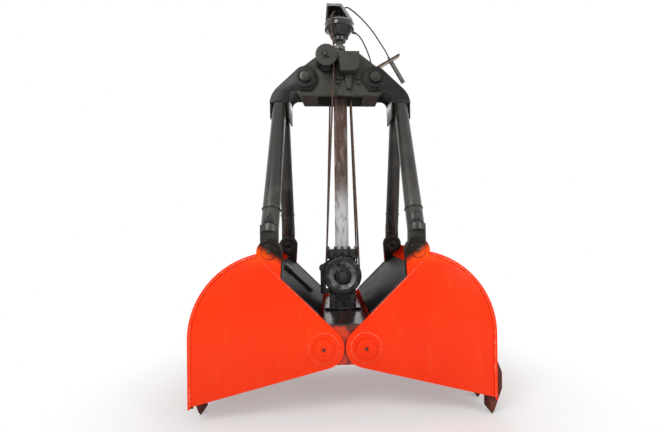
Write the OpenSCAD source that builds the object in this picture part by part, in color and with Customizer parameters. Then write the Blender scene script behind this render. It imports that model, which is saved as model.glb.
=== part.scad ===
// Single-rope grab bucket standing open on its teeth, millimetres, +Z up.
// +X to the right of the front view, +Y away from it, origin at the bottom centre.

/* [Jaws] */
// Overall width of a jaw, outside its side plates
jaw_w = 1250; // [1100:10:1500]
// Hinge pin's distance from the middle of the grab
hinge_x = 150; // [146:1:170]
// Height of the hinge pins above the tooth tips
hinge_z = 514.5; // [490:0.5:540]
// Radius of the rounded nose around a hinge pin
nose_r = 145; // [135:1:145]
// Distance from the middle to the inside of the upright back
back_x = 1080; // [1040:5:1120]
// Height where the upright back starts to curve in
back_z = 595; // [570:5:620]
// Radius of the curved back
back_r = 595; // [575:5:615]
// Angle that the curved back turns through
back_sweep = 77.6; // [74:0.1:79]
// Height of the side plate's lower corner
lip_z = 133; // [120:1:150]
// Thickness of a side plate
side_t = 16; // [12:1:20]
// Thickness of the back plate
back_t = 12; // [8:1:16]
// How far the back plate stands out past a side plate
back_proud = 8; // [4:1:12]
// How far the back plate hangs below the side plate
lip_drop = 15; // [10:1:25]
// Thickness of the cutting edge bar
edge_t = 20; // [14:1:24]
// Height of the cutting edge bar
edge_h = 150; // [135:5:170]
// Thickness of the cover plate on the jaw's upper slope
cover_t = 10; // [8:1:14]
// Length of bare slope between the upper corner and the cover plate
cover_start = 130; // [120:5:140]
// Length of the cover plate down the slope
cover_l = 485; // [440:5:500]
// Radius of the doubling ring round a hinge pin
ring_r = 105; // [95:1:115]
// Thickness of the doubling ring
ring_t = 12; // [8:1:16]

/* [Teeth] */
// Width of a tooth
tooth_w = 90; // [70:2:100]
// Spacing of the teeth along the lip
tooth_pitch = 275; // [250:5:280]
// Number of teeth on the right jaw
right_teeth = 5; // [3:2:5]
// Number of teeth on the left jaw
left_teeth = 4; // [2:2:4]
// How far a tooth stands out from the back plate
tooth_out = 48; // [35:1:60]
// How far a tooth stands in from the cutting edge bar
tooth_in = 23; // [15:1:25]
// Height of a tooth's upper end
tooth_top = 427; // [380:1:440]
// Room beside a tooth in the notch of the other lip
notch_gap = 12; // [8:1:20]
// Height of the notch above the lip
notch_h = 125; // [120:1:140]

/* [Hinges] */
// Radius of a hinge pin
pin_r = 45; // [40:1:50]
// Wall of the bush round a hinge pin
bush_t = 10; // [6:1:12]
// Radius of a hinge pin's head
pin_head_r = 70; // [64:1:76]
// Thickness of a pin's head
pin_head_t = 12; // [8:1:18]
// Radial clearance of a running fit
fit_gap = 0.05; // [0.02:0.01:0.09]
// Gap between plates that slide past each other
side_gap = 3; // [2:0.5:4]

/* [Ears and arms] */
// Distance of the ear pins from the middle
ear_x = 526; // [510:2:540]
// Height of the ear pins
ear_z = 1200; // [1190:2:1220]
// Radius of an ear
ear_r = 88; // [84:1:94]
// Thickness of the inner ear plate
ear_t = 16; // [12:1:20]
// Radius of an ear pin
ear_pin_r = 35; // [30:1:40]
// Thickness of the eye plate at an arm's foot
eye_t = 40; // [30:1:44]
// Radius of the eye
eye_r = 64; // [58:1:68]
// Radius of a leg tube at its top
leg_top_r = 54; // [48:1:58]
// Radius of a leg tube at its foot
leg_foot_r = 64; // [58:1:66]
// Wall of a leg tube
leg_wall = 8; // [5:1:12]
// Height where a leg tube meets the elbow
leg_top_z = 2400; // [2370:5:2410]
// Height where the foot casting takes over from the tube
foot_top_z = 1500; // [1470:5:1540]
// Distance of the elbow's outer edge from the middle
elbow_x = 585; // [580:1:600]
// Outer radius of the elbow's bend
elbow_r = 200; // [190:1:210]
// Width of the elbow's upright part
elbow_w = 159; // [150:1:165]
// Height of the elbow's lower end
elbow_low_z = 2281; // [2260:1:2300]
// Thickness of an elbow plate
elbow_t = 20; // [14:1:26]
// Radius of the eye around a head pin
shoulder_r = 100; // [92:1:104]

/* [Head] */
// Distance of the head pins from the middle
head_x = 289; // [280:1:296]
// Height of the head pins
head_z = 2606; // [2590:1:2620]
// Radius of a head pin
head_pin_r = 40; // [34:1:44]
// Height of the head's bottom edge
head_low_z = 2464; // [2450:1:2475]
// Height of the head's top
head_top_z = 2844; // [2820:1:2860]
// Half width of the head's top
head_top_x = 136; // [120:1:150]
// Half width of the head's bottom edge
head_low_x = 320; // [300:1:330]
// Radius of the head's lobe round a head pin
lobe_r = 95; // [88:1:98]
// Width of the head over its two plates
head_w = 270; // [250:2:290]
// Thickness of a head plate
head_t = 20; // [14:1:24]

/* [Rope gear] */
// Diameter of the hoist rope
rope_d = 16; // [12:1:18]
// Outer radius of a lower sheave
sheave_r = 155; // [145:1:165]
// Height of the lower sheaves' axle
sheave_z = 972; // [960:1:990]
// Width of a sheave
sheave_w = 60; // [50:1:64]
// Radius of a sheave's axle
axle_r = 30; // [24:1:34]
// Outer radius of a head sheave
top_sheave_r = 105; // [95:1:110]
// Height of the head sheaves' axle
top_sheave_z = 2640; // [2620:1:2660]
// Radius of the guide roller's flanges
roller_r = 87; // [80:1:92]
// Width of the guide bar
bar_w = 115; // [100:1:125]
// Thickness of the guide bar
bar_t = 45; // [35:1:50]
// Clearance round the guide bar
bar_gap = 2; // [1:0.5:3]
// Diameter of the thin trip cables
cable_d = 12; // [10:1:14]

/* [Lower beam] */
// Width of the beam across the grab
beam_w = 380; // [340:5:390]
// Height of the beam's deck
deck_z = 680; // [670:1:690]
// Height of the beam's underside
beam_low_z = 565; // [555:1:575]
// Thickness of the beam's plates
beam_t = 14; // [10:1:18]
// Thickness of an end plate of the beam
end_t = 30; // [24:1:36]
// Radius of the end plate round a hinge pin
end_r = 125; // [115:1:130]

/* [Hanger] */
// Radius of the hanger's neck
neck_r = 30; // [26:1:34]
// Radius of the hanger's cup
cup_r = 124; // [115:1:130]
// Height of the cup's rim
rim_z = 3132; // [3120:1:3140]
// Height of the hanger's top
hanger_top_z = 3270; // [3255:1:3280]
// Depth of the hanger's strap
strap_w = 150; // [120:1:160]
// Thickness of the hanger's strap
strap_t = 16; // [12:1:20]
// Radius of the lifting hole in the hanger's side
lift_hole_r = 30; // [25:1:35]

/* [Hidden] */
$fn = 64;
// Overrun of a cut
cut = 1;
// Gap between touching pieces that move apart
touch = 0.3;

half_w = jaw_w / 2;
plate_in = half_w - side_t;
outer_x = back_x + back_t;

// Point at distance r from c at angle a
function polar(c, r, a) = [c[0] + r * cos(a), c[1] + r * sin(a)];
// Point where the tangent from p meets the circle at c; side is 1 or -1
function tangent_point(p, c, r, side) =
    let (d = norm(p - c), a = atan2(p[1] - c[1], p[0] - c[0]))
    polar(c, r, a + side * acos(r / d));

// Slab of a front view outline, from y to y + t
module slab(y, t) translate([0, y + t, 0]) rotate([90, 0, 0]) linear_extrude(t) children();
// Rod along Y from y to y + l
module rod(p, r, y, l) translate([p[0], y, p[1]]) rotate([-90, 0, 0]) cylinder(h = l, r = r);
// Round bar between two points, tapering from r1 to r2
module strut(a, b, r1, r2) {
    v = b - a;
    len = norm(v);
    translate(a) rotate([0, acos(v[2] / len), atan2(v[1], v[0])]) cylinder(h = len, r1 = r1, r2 = r2);
}
module dot(p, r) translate(p) circle(r = r);
// Circle fine enough for a thin curved plate
module fine_dot(p, r) translate(p) circle(r = r, $fn = 240);
module both_ends() {
    children();
    mirror([0, 1, 0]) children();
}
// The left half is the right half mirrored
module on_side(s) {
    if (s > 0) children();
    else mirror([1, 0, 0]) children();
}
module both_sides() {
    on_side(1) children();
    on_side(-1) children();
}

// Jaw outline
hinge = [hinge_x, hinge_z];
ear = [ear_x, ear_z];
bend = [back_x - back_r, back_z];
top_corner = polar(bend, back_r, back_sweep);
lip = [back_x, lip_z];
nose_low = tangent_point(lip, hinge, nose_r, -1);
nose_top = tangent_point(top_corner, hinge, nose_r, 1);
slope_l = norm(top_corner - nose_top);
slope_dir = (nose_top - top_corner) / slope_l;
slope_up = [slope_dir[1], -slope_dir[0]];
// Place along the upper slope, d from the corner and h above it
function on_slope(d, h) = top_corner + d * slope_dir + h * slope_up;
ear_root = 230;
ear_foot = on_slope(ear_root, 0);
ear_left = tangent_point(ear_foot, ear, ear_r, -1);
eye_out_y = plate_in - side_gap;
eye_in_y = eye_out_y - eye_t;
inner_ear_y = eye_in_y - side_gap - ear_t;
notch_w = tooth_w + 2 * notch_gap;
lip_low_z = lip_z - lip_drop;

// Angle of point p seen from c, from 0 to 360 degrees
function angle_of(p, c) = (atan2(p[1] - c[1], p[0] - c[0]) + 360) % 360;
// Points on an arc round c from angle a0 to a1
function arc(c, r, a0, a1) =
    let (n = ceil((a1 - a0) / arc_step)) [for (i = [0 : n]) polar(c, r, a0 + (a1 - a0) * i / n)];
arc_step = 3;

// Jaw and ear in one outline: nose, lip, curved back, ear
module jaw_profile() polygon(concat(
    arc(hinge, nose_r, angle_of(nose_top, hinge), angle_of(nose_low, hinge)),
    [lip],
    arc(bend, back_r, 0, back_sweep),
    arc(ear, ear_r, 0, angle_of(ear_left, ear)),
    [ear_foot]));

module side_plates(s) color("orangered") on_side(s) both_ends() difference() {
    union() {
        slab(plate_in, side_t) jaw_profile();
        rod(hinge, ring_r, half_w, ring_t);
    }
    rod(hinge, pin_r + bush_t, plate_in - cut, side_t + ring_t + 2 * cut);
    rod(ear, ear_pin_r, plate_in - cut, side_t + 2 * cut);
}

// Notches leave room for the other jaw's teeth when the lips meet
module lip_notches(n) for (i = [0 : n - 1]) {
    y = (i - (n - 1) / 2) * tooth_pitch;
    translate([back_x - edge_t - cut, y - notch_w / 2, lip_low_z - cut])
        cube([edge_t + back_t + 2 * cut, notch_w, notch_h + cut]);
}

module back_plate(s, other) color("orangered") on_side(s) difference() {
    slab(-half_w - back_proud, jaw_w + 2 * back_proud) {
        translate([back_x, lip_low_z]) square([back_t, back_z - lip_low_z]);
        intersection() {
            difference() {
                fine_dot(bend, back_r + back_t);
                fine_dot(bend, back_r);
            }
            polygon([bend, [bend[0] + 2 * back_r, back_z], polar(bend, 2 * back_r, back_sweep / 2),
                polar(bend, 2 * back_r, back_sweep)]);
        }
    }
    lip_notches(other);
}

module cutting_edge(s, other) color("saddlebrown") on_side(s) difference() {
    translate([back_x - edge_t, -plate_in, lip_low_z]) cube([edge_t, 2 * plate_in, edge_h]);
    lip_notches(other);
}

module cover_plate(s) color("dimgray") on_side(s) slab(-plate_in, 2 * plate_in)
    polygon([on_slope(cover_start, 0), on_slope(cover_start + cover_l, 0),
        on_slope(cover_start + cover_l, -cover_t), on_slope(cover_start, -cover_t)]);

module inner_ears(s) color("dimgray") on_side(s) both_ends() difference() {
    slab(inner_ear_y, ear_t) {
        dot(ear, ear_r);
        polygon([ear_foot, ear_left, ear, polar(ear, ear_r, 0), on_slope(cover_start, 0)]);
    }
    rod(ear, ear_pin_r, inner_ear_y - cut, ear_t + 2 * cut);
}

// Tooth: a wedge that straddles the lip, its point in line with the edge bar
tooth_shoulder_z = 302;
tooth_belly_z = 187;
tooth_heel_z = 171;
tooth_point_z = 33;
tip_out_x = back_x - 2;
tip_in_x = back_x - 16;
tip_z = 19;
module tooth_profile() difference() {
    polygon([[outer_x, tooth_top], [outer_x + tooth_out, tooth_shoulder_z],
        [outer_x + tooth_out, tooth_belly_z], [tip_out_x, tip_z], [tip_in_x, 0],
        [back_x - edge_t - tooth_in, tooth_point_z], [back_x - edge_t - tooth_in, tooth_heel_z],
        [back_x - edge_t, tooth_heel_z + tooth_in], [back_x - edge_t, tooth_top]]);
    translate([back_x - edge_t - touch, lip_low_z]) square([edge_t + back_t + touch, tooth_top]);
}
module teeth_row(s, n) color("sienna") on_side(s) for (i = [0 : n - 1])
    slab((i - (n - 1) / 2) * tooth_pitch - tooth_w / 2, tooth_w) tooth_profile();

module hinge_bushes(s) color("darkgoldenrod") on_side(s) both_ends() difference() {
    rod(hinge, pin_r + bush_t, plate_in, side_t + ring_t);
    rod(hinge, pin_r + fit_gap, plate_in - cut, side_t + ring_t + 2 * cut);
}

// Hinge pins are held in the beam's end plates
end_out_y = plate_in - side_gap;
nipple_r = 8;
nipple_h = 6;
pin_out_y = half_w + ring_t + side_gap;
module jaw_hinge_pins() color("tomato") both_sides() both_ends() {
    rod(hinge, pin_r, end_out_y - end_t, pin_out_y - end_out_y + end_t);
    rod(hinge, pin_head_r, pin_out_y, pin_head_t);
    rod(hinge, nipple_r, pin_out_y + pin_head_t, nipple_h);
}

ear_head_r = 50;
module ear_pins(s) color("dimgray") on_side(s) both_ends() {
    rod(ear, ear_pin_r, inner_ear_y, half_w - inner_ear_y);
    rod(ear, ear_head_r, half_w, pin_head_t);
    rod(ear, nipple_r, half_w + pin_head_t, nipple_h);
}

// Lower beam: a box with an end plate at each jaw
beam_end_y = end_out_y - end_t;
slot_x = bar_w / 2 + bar_gap;
slot_y = bar_t / 2 + bar_gap;
module beam_end_profile() {
    for (s = [-1, 1]) dot([s * hinge_x, hinge_z], end_r);
    translate([-hinge_x, hinge_z - end_r]) square([2 * hinge_x, 2 * end_r]);
    polygon([[-hinge_x - end_r, hinge_z], [hinge_x + end_r, hinge_z],
        [beam_w / 2, deck_z], [-beam_w / 2, deck_z]]);
}
module lower_beam() color("orangered") difference() {
    union() {
        translate([-beam_w / 2, -beam_end_y, beam_low_z])
            cube([beam_w, 2 * beam_end_y, deck_z - beam_low_z]);
        both_ends() slab(beam_end_y, end_t) beam_end_profile();
    }
    translate([-beam_w / 2 + beam_t, -beam_end_y + beam_t, beam_low_z + beam_t])
        cube([beam_w - 2 * beam_t, 2 * (beam_end_y - beam_t), deck_z - beam_low_z - 2 * beam_t]);
    translate([-slot_x, -slot_y, beam_low_z - cut])
        cube([2 * slot_x, 2 * slot_y, deck_z - beam_low_z + 2 * cut]);
    both_sides() both_ends() rod(hinge, pin_r, beam_end_y - cut, end_t + 2 * cut);
}

// Sheave housing: two cheeks on a base, under a ribbed guide head for the bar
cheek_t = 25;
cheek_in_y = 55;
cheek_x = 112;
base_t = 20;
base_x = 150;
base_y = 125;
guide_x = 130;
guide_y = 92;
guide_low_z = 1105;
guide_top_z = 1207;
rib_w = 22;
rib_count = 5;
rib_depth = 12;
foot_w = 48;
foot_h = 110;
foot_y = 34;
lug_t = 22;
latch_pivot = [-162, 1030];
lug_r = 34;
latch_pin_r = 16;
cheek_out_y = cheek_in_y + cheek_t;
module sheave_housing() color("dimgray") difference() {
    union() {
        translate([-base_x, -base_y, deck_z]) cube([2 * base_x, 2 * base_y, base_t]);
        both_ends() translate([-cheek_x, cheek_in_y, deck_z + base_t])
            cube([2 * cheek_x, cheek_t, guide_low_z - deck_z - base_t]);
        both_ends() for (x = [-cheek_x, cheek_x - foot_w])
            translate([x, cheek_out_y, deck_z + base_t]) cube([foot_w, foot_y, foot_h]);
        translate([-guide_x, -guide_y + rib_depth, guide_low_z])
            cube([2 * guide_x, 2 * (guide_y - rib_depth), guide_top_z - guide_low_z - rib_w]);
        both_ends() for (i = [0 : rib_count - 1])
            translate([-guide_x + i * (2 * guide_x - rib_w) / (rib_count - 1), 0, guide_low_z])
                cube([rib_w, guide_y, guide_top_z - guide_low_z]);
        slab(-cheek_out_y, lug_t) {
            dot(latch_pivot, lug_r);
            polygon([latch_pivot + [0, lug_r], [-cheek_x, latch_pivot[1] + 2 * lug_r],
                [-cheek_x, latch_pivot[1] - 2 * lug_r], latch_pivot - [0, lug_r]]);
        }
    }
    translate([-slot_x, -slot_y, deck_z - cut])
        cube([2 * slot_x, 2 * slot_y, guide_top_z - deck_z + 2 * cut]);
    both_ends() rod([0, sheave_z], axle_r, cheek_in_y - cut, cheek_t + 2 * cut);
    rod(latch_pivot, latch_pin_r, -cheek_out_y - cut, lug_t + 2 * cut);
}

// Lower sheaves run on stub axles, one each side of the guide bar
sheave_in_y = 130;
sheave_out_y = sheave_in_y + sheave_w;
spacer_r = 46;
washer_r = 57;
washer_t = 10;
nut_r = 36;
nut_t = 24;
module sheave_axles() color("gray") both_ends() {
    rod([0, sheave_z], axle_r, cheek_in_y, sheave_out_y + touch + washer_t - cheek_in_y);
    rod([0, sheave_z], spacer_r, cheek_out_y, sheave_in_y - touch - cheek_out_y);
    rod([0, sheave_z], washer_r, sheave_out_y + touch, washer_t);
}
module sheave_nuts() color("gray") both_ends()
    translate([0, sheave_out_y + touch + washer_t, sheave_z]) rotate([-90, 0, 0])
        cylinder(h = nut_t, r = nut_r, $fn = 6);

// Rope groove, flanges, dished web and hub, turned about the axle
groove_depth = 24;
flange_t = 8;
web_inset = 16;
// The groove is wider than the rope, because the falls lean across it
groove_ease = 5;
rim_in_share = 0.74;
hub_share = 0.37;
module sheave_form(r, w, bore) {
    base_r = r - groove_depth;
    groove_r = rope_d / 2 + fit_gap + touch + groove_ease;
    rotate_extrude() difference() {
        translate([bore, 0]) square([r - bore, w]);
        translate([base_r + groove_r, w / 2]) circle(r = groove_r);
        polygon([[base_r + groove_r, w / 2 - groove_r], [r + cut, flange_t],
            [r + cut, w - flange_t], [base_r + groove_r, w / 2 + groove_r]]);
        for (k = [0, 1]) polygon([[r * rim_in_share, k * w],
            [r * hub_share + web_inset, k * w + (1 - 2 * k) * web_inset], [r * hub_share, k * w]]);
    }
}
module along_y(y, z, x = 0) translate([x, y, z]) rotate([-90, 0, 0]) children();
module front_lower_sheave() color("dimgray")
    along_y(-sheave_out_y, sheave_z) sheave_form(sheave_r, sheave_w, axle_r + fit_gap);
module rear_lower_sheave() color("dimgray")
    along_y(sheave_in_y, sheave_z) sheave_form(sheave_r, sheave_w, axle_r + fit_gap);

// Rope centre line radius on a sheave
function lay_r(r) = r - groove_depth + rope_d / 2 + fit_gap + touch;
sheave_mid_y = sheave_in_y + sheave_w / 2;
rope_r = rope_d / 2;
module half_wrap(r, y, z, up) translate([0, y, z]) rotate([90, 0, 0]) difference() {
    rotate_extrude() translate([r, 0]) circle(r = rope_r);
    translate([-2 * r, up > 0 ? -4 * r : 0, -rope_d]) cube([4 * r, 4 * r, 2 * rope_d]);
}
module rope_wraps() color("peru") both_ends() half_wrap(lay_r(sheave_r), sheave_mid_y, sheave_z, -1);

// Latch hook that holds the sheave housing down
latch_w = 46;
latch_toe = 86;
latch_toe_h = 40;
latch_t = 24;
// Play under the toe, which dips as the hook swings out
toe_play = 3.6;
latch_low = [latch_pivot[0] - latch_w / 2, deck_z + base_t + foot_h + touch + toe_play];
latch_face_y = cheek_out_y + touch + latch_t;
module latch_hook() color("dimgray") difference() {
    union() {
        rod(latch_pivot, lug_r, -latch_face_y, latch_t);
        slab(-latch_face_y, latch_t) polygon([latch_pivot, latch_pivot + [latch_w / 2, 0],
            latch_low + [latch_w, latch_w], latch_low + [latch_toe, latch_toe_h],
            latch_low + [latch_toe, 0], latch_low, latch_pivot - [latch_w / 2, 0]]);
    }
    rod(latch_pivot, latch_pin_r + fit_gap, -latch_face_y - cut, latch_t + 2 * cut);
}
module latch_pin() color("gray") {
    rod(latch_pivot, latch_pin_r, -latch_face_y - touch, latch_t + lug_t + 2 * touch);
    rod(latch_pivot, latch_pin_r + rope_r, -latch_face_y - touch - rope_r, rope_r);
}

// Arms
leg_x = elbow_x - elbow_w / 2;
leg_top_y = 118;
leg_foot_y = (eye_in_y + eye_out_y) / 2;
leg_top = [leg_x, -leg_top_y, leg_top_z];
leg_end_z = ear_z + 2 * eye_r;
leg_end = [ear_x, -leg_foot_y, leg_end_z];
// Point on a leg's centre line at height z
function on_leg(z) = leg_end + (leg_top - leg_end) * (z - leg_end_z) / (leg_top_z - leg_end_z);
foot_top = on_leg(foot_top_z);
// Tube end before it is cut level under the elbow
leg_over = on_leg(leg_top_z + leg_top_r);
elbow_in_y = head_w / 2 + side_gap;
elbow_out_y = elbow_in_y + elbow_t;
shoulder = [head_x, head_z];
elbow_c = [elbow_x - elbow_r, leg_top_z - elbow_t];
shoulder_a = atan2(elbow_c[1] - shoulder[1], elbow_c[0] - shoulder[0])
    + acos((shoulder_r - elbow_r) / norm(elbow_c - shoulder));
crook_r = 60;
elbow_in_x = elbow_x - elbow_w;
web_t = 12;

crook_top_z = head_z - shoulder_r;
module elbow_crook() {
    square([elbow_in_x, crook_top_z - crook_r]);
    square([elbow_in_x - crook_r, crook_top_z]);
    dot([elbow_in_x - crook_r, crook_top_z - crook_r], crook_r);
}
module elbow_profile() {
    dot(shoulder, shoulder_r);
    difference() {
        union() {
            dot(elbow_c, elbow_r);
            polygon([shoulder, polar(shoulder, shoulder_r, shoulder_a),
                polar(elbow_c, elbow_r, shoulder_a), elbow_c]);
        }
        elbow_crook();
        square([elbow_x + cut, leg_top_z]);
    }
}
module elbow_web_profile() {
    translate([elbow_x - web_t, elbow_low_z]) square([web_t, elbow_c[1] - elbow_low_z]);
    translate([elbow_in_x, elbow_low_z]) square([web_t, crook_top_z - crook_r - elbow_low_z]);
    intersection() {
        difference() {
            fine_dot(elbow_c, elbow_r);
            fine_dot(elbow_c, elbow_r - web_t);
        }
        polygon([elbow_c, elbow_c + [elbow_r + cut, 0], elbow_c + [elbow_r + cut, elbow_r],
            polar(elbow_c, 2 * elbow_r, shoulder_a)]);
    }
}
collar_r = 84;
collar_t = 18;
module elbow(s) color("dimgray") on_side(s) difference() {
    union() {
        both_ends() slab(elbow_in_y, elbow_t) elbow_profile();
        slab(-elbow_in_y, 2 * elbow_in_y) elbow_web_profile();
        both_ends() rod(shoulder, collar_r, elbow_out_y, collar_t);
    }
    both_ends() rod(shoulder, head_pin_r, elbow_in_y - cut, elbow_t + collar_t + 2 * cut);
}
pin_stub_t = 26;
module elbow_pins(s) color("gray") on_side(s) both_ends()
    rod(shoulder, head_pin_r, elbow_in_y, elbow_t + collar_t + pin_stub_t);

module legs(s) color("dimgray") on_side(s) both_ends() difference() {
    strut(foot_top, leg_over, leg_foot_r, leg_top_r);
    strut(foot_top, leg_over, leg_foot_r - leg_wall, leg_top_r - leg_wall);
    translate([elbow_in_x, -half_w, leg_top_z]) cube([elbow_w, half_w, elbow_r]);
}
module leg_feet(s) color("dimgray") on_side(s) both_ends() difference() {
    union() {
        strut(leg_end, foot_top, leg_foot_r, leg_foot_r);
        slab(-eye_out_y, eye_t) {
            dot(ear, eye_r);
            translate([ear_x - eye_r, ear_z]) square([2 * eye_r, leg_end_z - ear_z + eye_r]);
        }
    }
    rod(ear, ear_pin_r + fit_gap, -eye_out_y - cut, eye_t + 2 * cut);
}

// Head
head_in_y = head_w / 2 - head_t;
lobe_a = 45;
lobe_out = polar(shoulder, lobe_r, lobe_a);
module head_profile() {
    both_x() dot(shoulder, lobe_r);
    polygon([[-head_low_x, head_low_z], [head_low_x, head_low_z], [head_x + lobe_r, head_z], lobe_out,
        [head_top_x, head_top_z], [-head_top_x, head_top_z], [-lobe_out[0], lobe_out[1]],
        [-head_x - lobe_r, head_z]]);
}
module both_x() {
    children();
    mirror([1, 0]) children();
}
floor_in_x = 190;
module head_frame() color("dimgray") difference() {
    union() {
        both_ends() slab(head_in_y, head_t) head_profile();
        both_sides() rod(shoulder, head_pin_r + head_t, -head_in_y, 2 * head_in_y);
        both_sides() translate([floor_in_x, -head_in_y, head_low_z])
            cube([head_low_x - floor_in_x, 2 * head_in_y, head_t]);
        translate([-head_top_x, -head_in_y, head_top_z - head_t])
            cube([2 * head_top_x, 2 * head_in_y, head_t]);
    }
    both_sides() rod(shoulder, head_pin_r, -head_w / 2 - cut, head_w + 2 * cut);
    rod([0, top_sheave_z], axle_r, -head_w / 2 - cut, head_w + 2 * cut);
    rod([0, bar_pin_z], bar_pin_r, -head_w / 2 - cut, head_w + 2 * cut);
    rod(roller_c, roller_pin_r, -head_w / 2 - cut, head_t + 2 * cut);
}
// The pins end just short of the elbows' own halves
module head_pins() color("gray") both_sides()
    rod(shoulder, head_pin_r, -elbow_in_y + touch, 2 * (elbow_in_y - touch));

// Guide bar hung in the head, worn bright where the housing slides
bar_pin_z = 2496;
bar_pin_r = 20;
bar_top_z = bar_pin_z + 36;
// The bar's end stays clear of the teeth inside the closed jaws
bar_low_z = beam_low_z + 3 * beam_t;
module guide_bar() color("rosybrown") difference() {
    translate([-bar_w / 2, -bar_t / 2, bar_low_z]) cube([bar_w, bar_t, bar_top_z - bar_low_z]);
    rod([0, bar_pin_z], bar_pin_r, -bar_t / 2 - cut, bar_t + 2 * cut);
}
module guide_bar_pin() color("gray") both_ends() {
    rod([0, bar_pin_z], bar_pin_r, 0, head_w / 2);
    rod([0, bar_pin_z], bar_pin_r + rope_r, head_w / 2, rope_r);
}

top_mid_y = 62;
module head_sheave_axle() color("gray") rod([0, top_sheave_z], axle_r, -head_w / 2, head_w);
module head_sheaves() color("dimgray") both_ends()
    along_y(top_mid_y - sheave_w / 2, top_sheave_z) sheave_form(top_sheave_r, sheave_w, axle_r + fit_gap);

// Guide roller on a stub axle in front of the head
roller_c = [-113, 2745];
roller_l = 145;
roller_pin_r = 22;
roller_flange_t = 22;
roller_core_r = 52;
roller_far_y = head_w / 2 + side_gap;
module guide_roller() color("dimgray") along_y(-roller_far_y - roller_l, roller_c[1], roller_c[0])
    rotate_extrude() polygon([[roller_pin_r + fit_gap, 0], [roller_r, 0], [roller_r, roller_flange_t],
        [roller_core_r, 2 * roller_flange_t], [roller_core_r, roller_l - 2 * roller_flange_t],
        [roller_r, roller_l - roller_flange_t], [roller_r, roller_l], [roller_pin_r + fit_gap, roller_l]]);
module roller_axle() color("gray") {
    rod(roller_c, roller_pin_r, -roller_far_y - roller_l - touch, roller_l + touch + side_gap + head_t);
    rod(roller_c, roller_pin_r + rope_r, -roller_far_y - roller_l - touch - rope_r, rope_r);
}

// Latch box with its tongue, bolted to the head's front
box_c_x = 68;
box_w = 172;
box_low_z = 2636;
box_top_z = 2792;
box_depth = 110;
box_round = 60;
box_slant = 17;
tongue_top_w = 62;
tongue_low_w = 34;
tongue_l = 118;
tongue_t = 40;
wall_t = 12;
module box_profile(inset) {
    x1 = box_c_x - box_w / 2 + inset;
    x2 = box_c_x + box_w / 2 - inset;
    difference() {
        polygon([[x1 + box_slant, box_low_z + inset], [x2, box_low_z + inset], [x2, box_top_z - inset],
            [x1, box_top_z - inset]]);
        difference() {
            translate([x2 - box_round, box_low_z + inset - cut]) square(box_round + cut);
            dot([x2 - box_round, box_low_z + inset + box_round], box_round);
        }
    }
}
module latch_box() color("dimgray") difference() {
    slab(-head_w / 2 - box_depth, box_depth) box_profile(0);
    slab(-head_w / 2 - box_depth + wall_t, box_depth) box_profile(wall_t);
}
module latch_tongue() color("dimgray") slab(-head_w / 2 - tongue_t, tongue_t)
    polygon([[box_c_x - tongue_top_w / 2, box_low_z], [box_c_x + tongue_top_w / 2, box_low_z],
        [box_c_x + tongue_low_w / 2, box_low_z - tongue_l],
        [box_c_x - tongue_low_w / 2, box_low_z - tongue_l]]);
bolt_r = 13;
bolt_l = 24;
bolt_x = 84;
bolt_low = 62;
bolt_step = 34;
module box_bolts() color("silver") for (x = [-bolt_x, bolt_x], k = [0, 1])
    translate([box_c_x + x, -head_w / 2 - bolt_l, box_low_z - bolt_low + k * bolt_step]) rotate([-90, 0, 0])
        cylinder(h = bolt_l, r = bolt_r, $fn = 6);

// Hanger: neck, cup and strap turn in the swivel boss
boss_top_z = 2905;
flange_top_z = 2935;
collar_low_z = 2982;
collar_top_z = 3016;
boss_r = 56;
neck_flange_r = 50;
cup_low_r = 76;
cup_mid_z = 3082;
cup_wall = 14;
rim_step = 8;
collar_r_top = 54;
module swivel_boss() color("dimgray") translate([0, 0, head_top_z]) difference() {
    cylinder(h = boss_top_z - head_top_z, r = boss_r);
    translate([0, 0, -cut]) cylinder(h = boss_top_z - head_top_z + 2 * cut, r = neck_r + fit_gap);
}
module hanger_neck() color("gray") {
    translate([0, 0, head_top_z]) cylinder(h = collar_low_z - head_top_z, r = neck_r);
    translate([0, 0, boss_top_z + touch]) cylinder(h = flange_top_z - boss_top_z - touch, r = neck_flange_r);
}
module hanger_cup() color("dimgray") rotate_extrude() polygon([[0, collar_low_z],
    [collar_r_top, collar_low_z], [collar_r_top, collar_top_z], [cup_low_r, collar_top_z],
    [cup_r - rim_step, cup_mid_z], [cup_r, cup_mid_z], [cup_r, rim_z], [cup_r - cup_wall, rim_z],
    [cup_r - cup_wall, cup_mid_z], [cup_low_r - cup_wall, collar_top_z + cup_wall],
    [0, collar_top_z + cup_wall]]);

strap_left_x = -118;
strap_top_left_x = -108;
strap_top_right_x = 18;
strap_right_x = 108;
// Outline of the strap, in by t on all its sides but the open foot
module strap_profile(t) polygon([[strap_left_x + t, rim_z - cut * sign(t)],
    [strap_top_left_x + t, hanger_top_z - t], [strap_top_right_x - t / 2, hanger_top_z - t],
    [strap_right_x - 1.5 * t, rim_z - cut * sign(t)]]);
lift_hole_z = 3185;
module hanger_strap() color("gray") difference() {
    slab(-strap_w / 2, strap_w) strap_profile(0);
    slab(-strap_w / 2 - cut, strap_w - strap_t + cut) strap_profile(strap_t);
    rod([0, lift_hole_z], lift_hole_r, strap_w / 2 - strap_t - cut, strap_t + 2 * cut);
}

// Trip lever behind the head's right shoulder
lever_y = 172;
lever_w = 60;
lever_t = 12;
pivot = [255, 2778];
lever_end = [560, 2955];
rod_at = 257;
rod_l = 230;
rod_r = 20;
pivot_r = 14;
lever_hub_r = 26;
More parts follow.
